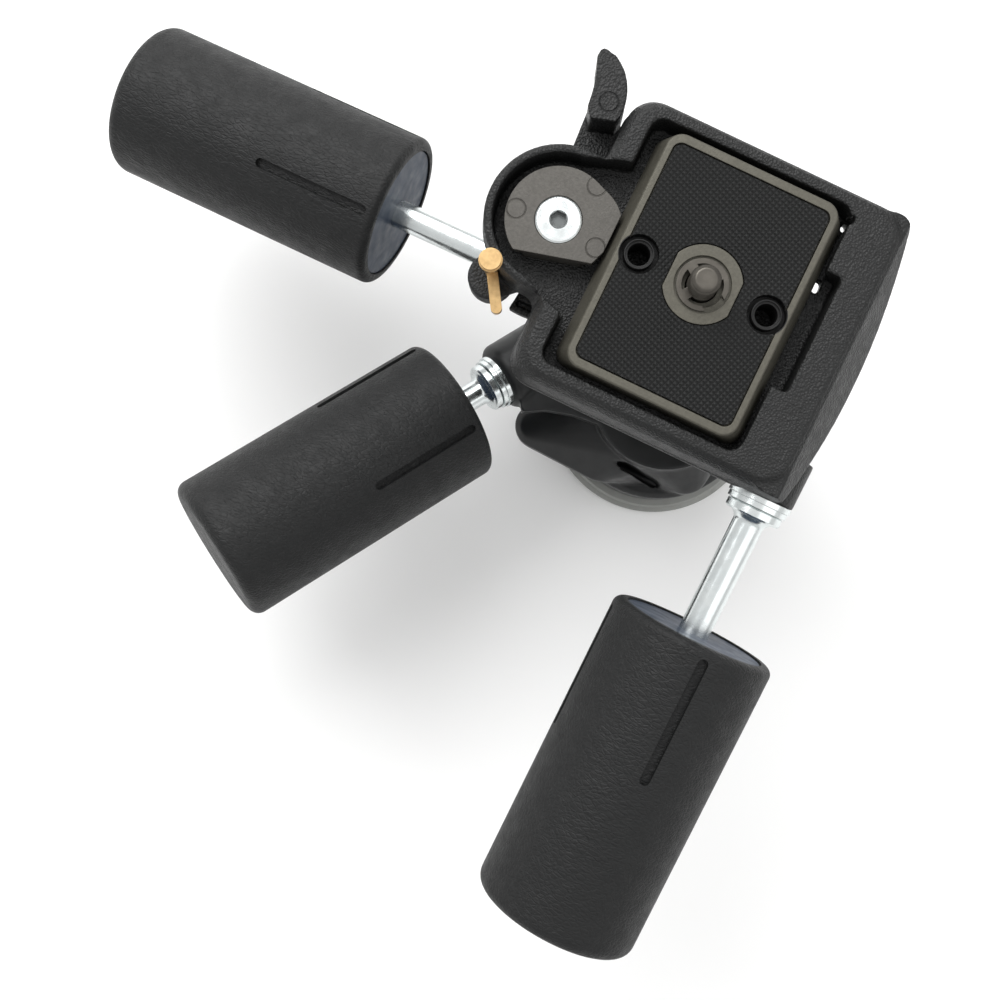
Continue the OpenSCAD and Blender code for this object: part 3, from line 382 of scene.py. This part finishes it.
def cut_thread(co):
    """Draws a point of the camera screw's shank, over the plate, in to its thread."""
    dx, dy = co.x - PLATE_C[0] * MM, co.y - PLATE_C[1] * MM
    off = math.hypot(dx, dy)
    if co.z < THREAD_Z * MM or off < SHANK_R * MM:
        return
    turn = co.z / (THREAD_PITCH * MM) - math.atan2(dy, dx) / (2 * math.pi)
    crest = 1 - abs(2 * (turn % 1) - 1)
    limit = (THREAD_R - THREAD_DEPTH * (1 - crest)) * MM
    if off > limit:
        co.x = PLATE_C[0] * MM + dx * limit / off
        co.y = PLATE_C[1] * MM + dy * limit / off


def casting(name, body, m, voxel_mm, smoothing, shape=None):
    """Shows a copy of a CAD node in its place, with the soft edges of a casting.

    shape: moves each point of the copy, if given
    """
    o = link(name + "_cast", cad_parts[name].data.copy())
    weld = o.modifiers.new("weld", "WELD")
    weld.merge_threshold = WELD
    remesh = o.modifiers.new("remesh", "REMESH")
    remesh.mode = "VOXEL"
    remesh.voxel_size = voxel_mm * MM
    smooth = o.modifiers.new("smooth", "SMOOTH")
    smooth.iterations = smoothing
    smooth.factor = SMOOTH_FACTOR
    evaluated = o.evaluated_get(bpy.context.evaluated_depsgraph_get())
    mesh = bpy.data.meshes.new_from_object(evaluated)
    o.modifiers.clear()
    o.data = mesh
    if shape:
        for v in mesh.vertices:
            shape(v.co)
        mesh.update()
    dress(mesh, m)
    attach(o, body)
    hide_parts(name)


for node_name in STEEL_NODES:
    finish_node(node_name, steel)
for handle, grip_turn in GRIP_TURN.items():
    finish_node(handle + "_rod", bright)
    finish_node(handle + "_washers", bright)
    finish_node(handle + "_core", core)
    finish_node(handle + "_grip", grip_rubber("grip_rubber_" + handle, grip_turn))
finish_node("cam_screw", socket_zinc())
finish_node("base_disc", alloy)
finish_node("thrust_washer", slip)
finish_node("axle_cap", black)
finish_node("pan_cover", black)
finish_node("plate_pad", pad_rubber())
finish_node("quick_plate", plate_alloy)
finish_node("screw_clip", dark)
finish_node("safety_catch", brass())
finish_node("clamp_cam", cam_alloy)
casting("camera_screw", "screw", dark, 0.16, 1, cut_thread)
casting("platform", "deck", coat, 0.4, 5, round_corner)
casting("pan_body", "pan_stage", grey, 0.4, 6)
casting("tilt_block", "tilt_stage", grey, 0.4, 5)
casting("release_lever", "lever", lever_coat, 0.3, 4)

# ------------------------------------------------------------------ floor and light

FLOOR = 1.6  # half its side, in metres
AIM = Vector((0, 0, 0.05))  # what the lights point at, in metres

# Place in metres, width and height in metres, power in watts.
LIGHTS = {
    "key": ((-0.45, 0.42, 0.75), 0.9, 0.7, 9.0),
    "fill": ((0.55, 0.1, 0.7), 0.8, 0.8, 1.5),
}

# The white sky's strength goes up between two heights of the view's direction.
SKY = {"From Min": 0.6, "From Max": 0.97, "To Min": 0.72, "To Max": 0.85}


def backdrop():
    mesh = bpy.data.meshes.new("floor")
    corners = [(-FLOOR, -FLOOR, 0), (FLOOR, -FLOOR, 0), (FLOOR, FLOOR, 0), (-FLOOR, FLOOR, 0)]
    mesh.from_pydata(corners, [], [(0, 1, 2, 3)])
    o = link("floor", mesh)
    pale = surface("floor", (0.93, 0.93, 0.925), 0.6,
                   bumps=[(40, 4, 0.05, 0.1)], tint=(3, 3, 0.99, 1.01))
    mesh.materials.append(pale.mat)


def sky():
    world = bpy.data.worlds.new("studio")
    bpy.context.scene.world = world
    world.use_nodes = True
    tree = world.node_tree
    back = next(n for n in tree.nodes if n.type == "BACKGROUND")
    back.inputs["Color"].default_value = (1.0, 1.0, 1.0, 1)
    direction = tree.nodes.new("ShaderNodeTexCoord")
    split = tree.nodes.new("ShaderNodeSeparateXYZ")
    fade = tree.nodes.new("ShaderNodeMapRange")
    fade.interpolation_type = "SMOOTHSTEP"
    for key, value in SKY.items():
        fade.inputs[key].default_value = value
    tree.links.new(direction.outputs["Generated"], split.inputs[0])
    tree.links.new(split.outputs[2], fade.inputs["Value"])
    tree.links.new(fade.outputs["Result"], back.inputs["Strength"])


def area_light(name, place, width, height, power):
    light = bpy.data.lights.new(name, "AREA")
    light.energy = power
    light.shape = "RECTANGLE"
    light.size = width
    light.size_y = height
    o = link(name, light)
    o.location = place
    o.rotation_euler = (AIM - Vector(place)).to_track_quat("-Z", "Y").to_euler()


backdrop()
sky()
for light_name, values in LIGHTS.items():
    area_light(light_name, *values)

# ------------------------------------------------------------------ camera

PHOTO_PX = 1000
FOCAL_PX = 1393.06
SENSOR = 36  # mm
CAMERA = Vector((-0.016582, -0.046288, 0.408134))  # metres
RIGHT = Vector((0.8994175, 0.4364595, -0.0234788))
DOWN = Vector((0.4360878, -0.8996950, -0.0193987))
AHEAD = Vector((-0.0295905, 0.0072087, -0.9995361))

cam = bpy.data.cameras.new("camera")
cam.sensor_fit = "HORIZONTAL"
cam.sensor_width = SENSOR
cam.lens = SENSOR * FOCAL_PX / PHOTO_PX
cam.clip_start = 0.01
cam.clip_end = 10
cam_o = link("camera", cam)
turn = Matrix((RIGHT, -DOWN, -AHEAD)).transposed()
cam_o.matrix_world = Matrix.Translation(CAMERA) @ turn.to_4x4()
bpy.context.scene.camera = cam_o
bpy.context.scene.view_settings.view_transform = "Standard"
